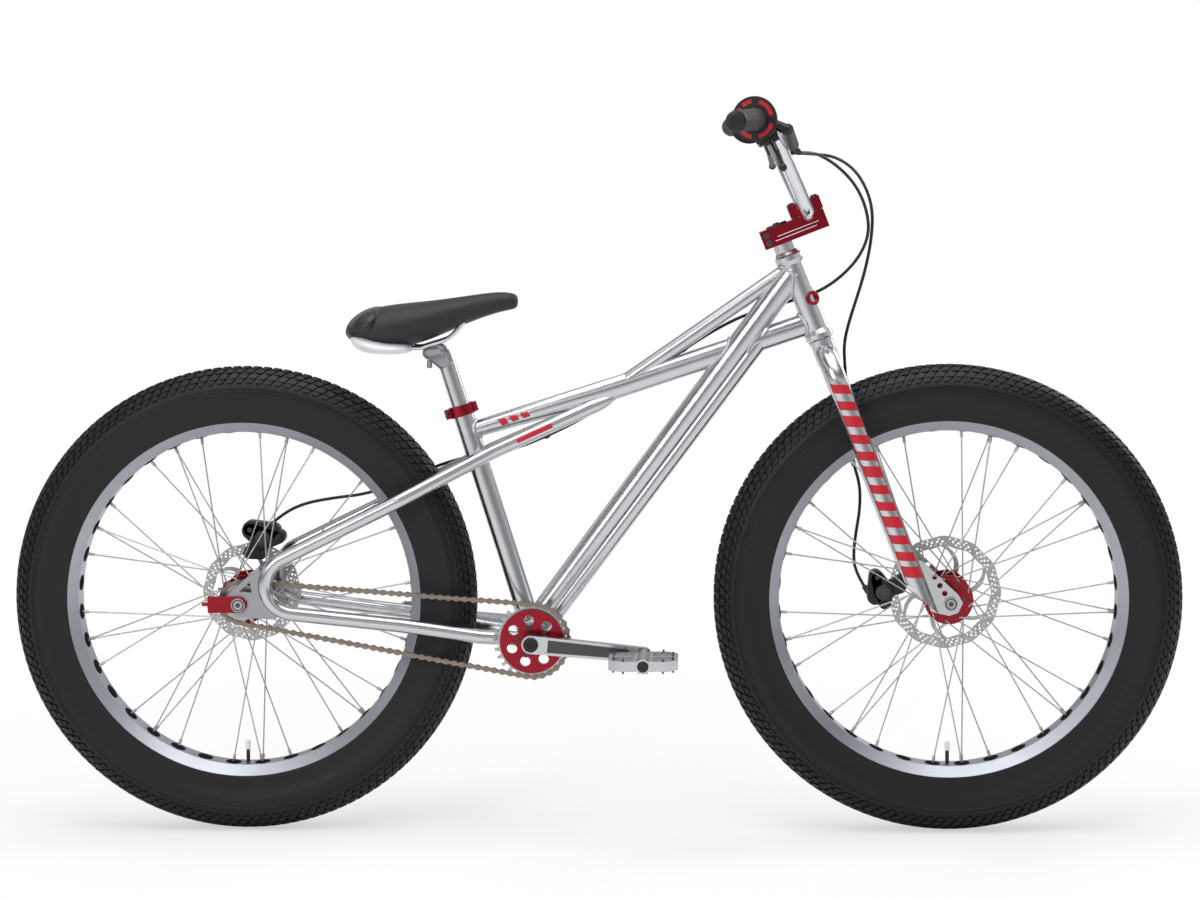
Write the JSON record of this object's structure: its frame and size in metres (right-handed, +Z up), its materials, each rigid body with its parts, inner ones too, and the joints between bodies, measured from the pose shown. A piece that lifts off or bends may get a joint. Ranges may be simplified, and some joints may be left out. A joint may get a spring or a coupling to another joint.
{
  "type": "cruiser bmx bicycle",
  "caption": "Fat-tyre BMX cruiser bicycle with looped rear stays, straight raked fork, braced high-rise bar, single-speed chain drive and hydraulic disc brakes.",
  "frame": {"origin": "on the ground, midway between the wheel axles, in the bicycle's middle plane", "axes": "+X forward, +Y to the rider's left, +Z up"},
  "size_m": [1.8248, 0.7772, 1.1392],
  "materials": {
    "polished_aluminium": "polished with a soft brushed grain",
    "grey_plate": "blasted and clear coated",
    "silver_trim": "turned and satin",
    "red_anodised": "anodised, satin",
    "dark_steel": "blackened steel",
    "rotor_steel": "ground stainless steel",
    "chain_steel": "oiled steel",
    "bright_chrome": "mirror chrome",
    "tyre_rubber": "black tread rubber",
    "grip_rubber": "ribbed soft rubber",
    "hose_black": "smooth black hose",
    "brake_black": "black, satin",
    "saddle_vinyl": "fine-grained black vinyl"
  },
  "bodies": {
    "frame": {"head_tube": "polished_aluminium", "top_tube": "polished_aluminium", "mid_tube": "polished_aluminium", "down_tube": "polished_aluminium", "seat_tube": "polished_aluminium", "bottom_bracket_shell": "polished_aluminium", "bottom_bracket_bearings": "dark_steel", "headset_cups": "silver_trim", "left_stay": "polished_aluminium", "right_stay": "polished_aluminium", "left_dropout": "grey_plate", "right_dropout": "grey_plate", "left_tensioner": "red_anodised", "right_tensioner": "red_anodised", "seat_collar": "red_anodised", "rear_axle": "dark_steel", "rear_caliper": "brake_black", "rear_brake_hose": "hose_black", "rear_hose_loop": "hose_black", "chain": "chain_steel"},
    "steering": {"steerer_tube": "dark_steel", "left_fork_leg": "polished_aluminium", "right_fork_leg": "polished_aluminium", "headset_spacers": "silver_trim", "stem_body": "red_anodised", "stem_cap": "red_anodised", "stem_bolts": "dark_steel", "handlebar": "bright_chrome", "left_grip": "grip_rubber", "right_grip": "grip_rubber", "left_master_cylinder": "brake_black", "right_master_cylinder": "brake_black", "front_axle": "dark_steel", "front_caliper": "brake_black", "front_brake_hose": "hose_black"},
    "front_wheel": {"front_tyre": "tyre_rubber", "front_rim": "silver_trim", "front_spokes": "rotor_steel", "front_hub": "red_anodised", "front_rotor": "rotor_steel"},
    "rear_wheel": {"rear_tyre": "tyre_rubber", "rear_rim": "silver_trim", "rear_spokes": "rotor_steel", "rear_hub": "red_anodised", "rear_rotor": "rotor_steel"},
    "drive_cog": {"rear_cog": "rotor_steel"},
    "crankset": {"crank_spindle": "dark_steel", "left_crank_arm": "polished_aluminium", "right_crank_arm": "polished_aluminium", "chainring": "rotor_steel", "chainring_guard": "red_anodised", "pedal_axles": "silver_trim"},
    "right_pedal_body": {"right_pedal": "silver_trim"},
    "left_pedal_body": {"left_pedal": "silver_trim"},
    "right_lever": {"right_brake_lever": "brake_black"},
    "left_lever": {"left_brake_lever": "brake_black"},
    "seat": {"seat_post": "polished_aluminium", "saddle_clamp": "grey_plate", "saddle_rails": "bright_chrome", "saddle": "saddle_vinyl"}
  },
  "joints": [
    {"name": "steering_turn", "type": "hinge", "parent": "frame", "child": "steering", "pos_m": [0.35158, 0, 0.76956], "axis": [-0.3584, 0, 0.9336], "range_deg": [-60, 60], "deforming": ["rear_hose_loop"]},
    {"name": "front_wheel_spin", "type": "hinge", "parent": "steering", "child": "front_wheel", "pos_m": [0.5485, 0, 0.364], "axis": [0, 1, 0], "continuous": true},
    {"name": "rear_wheel_spin", "type": "hinge", "parent": "frame", "child": "rear_wheel", "pos_m": [-0.5485, 0, 0.364], "axis": [0, 1, 0], "continuous": true},
    {"name": "crank_spin", "type": "hinge", "parent": "frame", "child": "crankset", "pos_m": [-0.0962, 0, 0.304], "axis": [0, 1, 0], "continuous": true, "deforming": ["chain"]},
    {"name": "cog_spin", "type": "hinge", "parent": "frame", "child": "drive_cog", "pos_m": [-0.5485, 0, 0.364], "axis": [0, 1, 0], "continuous": true},
    {"name": "right_pedal_spin", "type": "hinge", "parent": "crankset", "child": "right_pedal_body", "pos_m": [0.07799, -0.152, 0.28723], "axis": [0, 1, 0], "continuous": true},
    {"name": "left_pedal_spin", "type": "hinge", "parent": "crankset", "child": "left_pedal_body", "pos_m": [-0.27039, 0.152, 0.32077], "axis": [0, 1, 0], "continuous": true},
    {"name": "right_lever_pull", "type": "hinge", "parent": "steering", "child": "right_lever", "pos_m": [0.27056, -0.23248, 1.07715], "axis": [-0.8528, 0.2199, -0.4737], "range_deg": [0, 25], "stiffness_Nm_per_rad": 2, "springref_deg": -14.32},
    {"name": "left_lever_pull", "type": "hinge", "parent": "steering", "child": "left_lever", "pos_m": [0.27056, 0.23248, 1.07715], "axis": [0.8528, 0.2199, 0.4737], "range_deg": [0, 25], "stiffness_Nm_per_rad": 2, "springref_deg": -14.32},
    {"name": "seat_height", "type": "slide", "parent": "frame", "child": "seat", "axis": [-0.299, 0, 0.9542], "range_m": [-0.05, 0.035]}
  ],
  "couplings": [
    {"joint": "cog_spin", "follows": "crank_spin", "ratio": 1.75}
  ]
}
